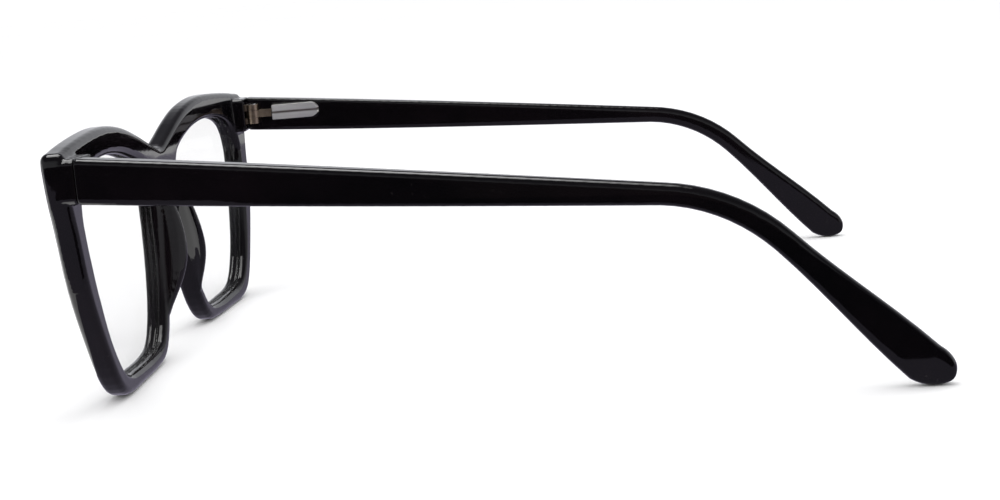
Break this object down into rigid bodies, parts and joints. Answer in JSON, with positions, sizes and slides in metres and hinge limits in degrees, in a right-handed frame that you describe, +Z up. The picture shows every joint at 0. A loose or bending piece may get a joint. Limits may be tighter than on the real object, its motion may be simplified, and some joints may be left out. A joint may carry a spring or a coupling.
{
  "type": "eyeglasses frame",
  "caption": "Full-rim glossy black acetate eyeglasses frame, wide square rims with moulded nose pads, clear lenses and long temples that fold and pull back on sprung hinges.",
  "frame": {"origin": "on the surface the open frame stands on, midway between the two temples and at the middle of the depth", "axes": "+X from the wearer's right to left, +Y back from the front towards the ears, +Z up"},
  "size_m": [0.153, 0.1458, 0.0473],
  "materials": {
    "black_acetate": "polished glossy black cellulose acetate",
    "demo_lens": "clear polished lens",
    "hinge_steel": "satin stainless steel",
    "hinge_bronze": "dull bronze-toned nickel silver",
    "spring_steel": "bright spring wire"
  },
  "bodies": {
    "front": {"front": "black_acetate", "nose_pad_left": "black_acetate", "nose_pad_right": "black_acetate", "lens_left": "demo_lens", "lens_right": "demo_lens", "hinge_leaf_left": "hinge_bronze", "hinge_leaf_right": "hinge_bronze", "hinge_screw_left": "hinge_steel", "hinge_screw_right": "hinge_steel"},
    "slider_left": {"slider_left": "hinge_bronze", "retainer_left": "hinge_steel"},
    "temple_left": {"temple_left": "black_acetate", "core_wire_left": "hinge_steel", "housing_left": "hinge_steel", "housing_plug_left": "hinge_steel", "spring_left": "spring_steel"},
    "slider_right": {"slider_right": "hinge_bronze", "retainer_right": "hinge_steel"},
    "temple_right": {"temple_right": "black_acetate", "core_wire_right": "hinge_steel", "housing_right": "hinge_steel", "housing_plug_right": "hinge_steel", "spring_right": "spring_steel"}
  },
  "joints": [
    {"name": "fold_left", "type": "hinge", "parent": "front", "child": "slider_left", "pos_m": [0.06098, -0.06311, 0.0407], "axis": [0, 0, 1], "range_deg": [0, 94]},
    {"name": "extend_left", "type": "slide", "parent": "slider_left", "child": "temple_left", "axis": [0.0698, 0.9976, 0], "range_m": [0, 0.00125], "stiffness_N_per_m": 3000, "deforming": ["spring_left"]},
    {"name": "fold_right", "type": "hinge", "parent": "front", "child": "slider_right", "pos_m": [-0.06098, -0.06311, 0.0407], "axis": [0, 0, -1], "range_deg": [0, 84]},
    {"name": "extend_right", "type": "slide", "parent": "slider_right", "child": "temple_right", "axis": [-0.0698, 0.9976, 0], "range_m": [0, 0.00125], "stiffness_N_per_m": 3000, "deforming": ["spring_right"]}
  ]
}
